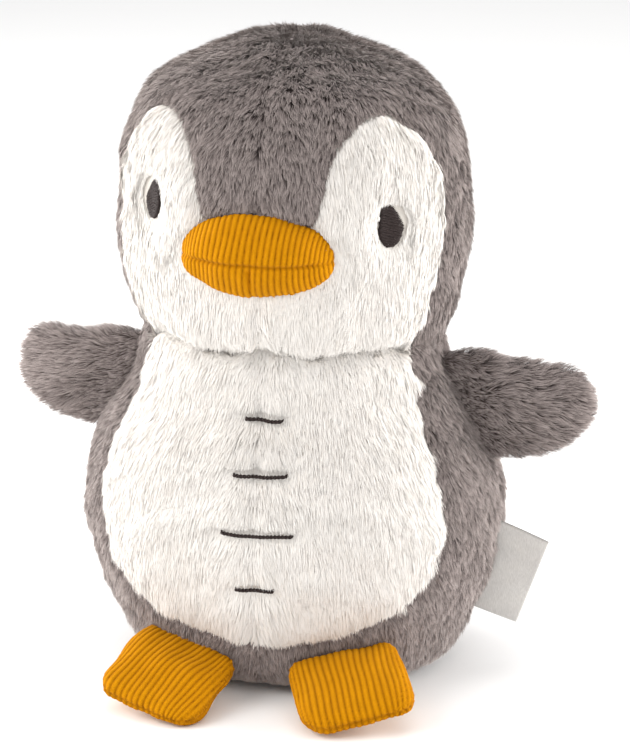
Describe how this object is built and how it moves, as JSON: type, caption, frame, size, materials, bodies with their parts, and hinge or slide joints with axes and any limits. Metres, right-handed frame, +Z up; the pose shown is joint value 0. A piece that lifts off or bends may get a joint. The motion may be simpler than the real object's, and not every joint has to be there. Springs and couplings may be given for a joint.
{
  "type": "plush penguin",
  "caption": "Stuffed penguin toy that sits on its flat base, with a soft pile body, flexible flippers and corduroy beak and feet.",
  "frame": {"origin": "centre of the flat base that the toy stands on", "axes": "+Z up, the face looks along -Y, +X is the toy's own left"},
  "size_m": [0.2092, 0.1495, 0.2292],
  "materials": {
    "white_pile": "matte",
    "grey_pile": "matte",
    "mustard_corduroy": "matte",
    "dark_thread": "matte",
    "grey_thread": "matte",
    "satin_ribbon": "satin",
    "fibre_filling": "matte"
  },
  "bodies": {
    "torso": {"base_panel": "grey_pile", "torso_filling": "fibre_filling", "belly_panel_left": "white_pile", "belly_panel_right": "white_pile", "front_panel_left": "grey_pile", "front_panel_right": "grey_pile", "back_panel_left": "grey_pile", "back_panel_right": "grey_pile", "belly_stitch_1": "dark_thread", "belly_stitch_2": "dark_thread", "belly_stitch_3": "dark_thread", "belly_stitch_4": "dark_thread", "closing_thread": "dark_thread", "neck_seam_thread": "grey_thread"},
    "head": {"head_filling": "fibre_filling", "face_panel_left": "white_pile", "face_panel_right": "white_pile", "crown_panel_left": "grey_pile", "crown_panel_right": "grey_pile", "head_back_panel_left": "grey_pile", "head_back_panel_right": "grey_pile", "eye_left": "dark_thread", "eye_right": "dark_thread", "beak_upper": "mustard_corduroy", "beak_lower_left": "mustard_corduroy", "beak_lower_right": "mustard_corduroy", "beak_filling": "fibre_filling"},
    "flipper_left": {"flipper_front_panel_left": "grey_pile", "flipper_back_panel_left": "grey_pile", "flipper_filling_left": "fibre_filling"},
    "flipper_right": {"flipper_front_panel_right": "grey_pile", "flipper_back_panel_right": "grey_pile", "flipper_filling_right": "fibre_filling"},
    "foot_left": {"foot_top_panel_left": "mustard_corduroy", "foot_sole_panel_left": "mustard_corduroy", "foot_filling_left": "fibre_filling"},
    "foot_right": {"foot_top_panel_right": "mustard_corduroy", "foot_sole_panel_right": "mustard_corduroy", "foot_filling_right": "fibre_filling"},
    "label": {"side_label": "satin_ribbon"}
  },
  "joints": [
    {"name": "head_nod", "type": "hinge", "parent": "torso", "child": "head", "pos_m": [0, -0.002, 0.106], "axis": [1, 0, 0], "range_deg": [-8, 10], "stiffness_Nm_per_rad": 1.2},
    {"name": "flipper_left_swing", "type": "hinge", "parent": "torso", "child": "flipper_left", "pos_m": [0.06196, -0.005, 0.09913], "axis": [0.4299, 0, -0.9029], "range_deg": [-28, 60], "stiffness_Nm_per_rad": 0.02},
    {"name": "flipper_right_swing", "type": "hinge", "parent": "torso", "child": "flipper_right", "pos_m": [-0.06196, -0.005, 0.09913], "axis": [0.4299, 0, 0.9029], "range_deg": [-28, 60], "stiffness_Nm_per_rad": 0.02},
    {"name": "foot_left_flex", "type": "hinge", "parent": "torso", "child": "foot_left", "pos_m": [0.0283, -0.0515, 0.0174], "axis": [-0.9297, -0.3101, -0.1988], "range_deg": [-30, 30], "stiffness_Nm_per_rad": 0.03},
    {"name": "foot_right_flex", "type": "hinge", "parent": "torso", "child": "foot_right", "pos_m": [-0.025, -0.0515, 0.017], "axis": [-0.9297, 0.3101, 0.1988], "range_deg": [-30, 30], "stiffness_Nm_per_rad": 0.03},
    {"name": "label_flap", "type": "hinge", "parent": "torso", "child": "label", "pos_m": [0.0711, 0.002, 0.03658], "axis": [-0.3419, 0, -0.9397], "range_deg": [-45, 45], "stiffness_Nm_per_rad": 0.002}
  ]
}
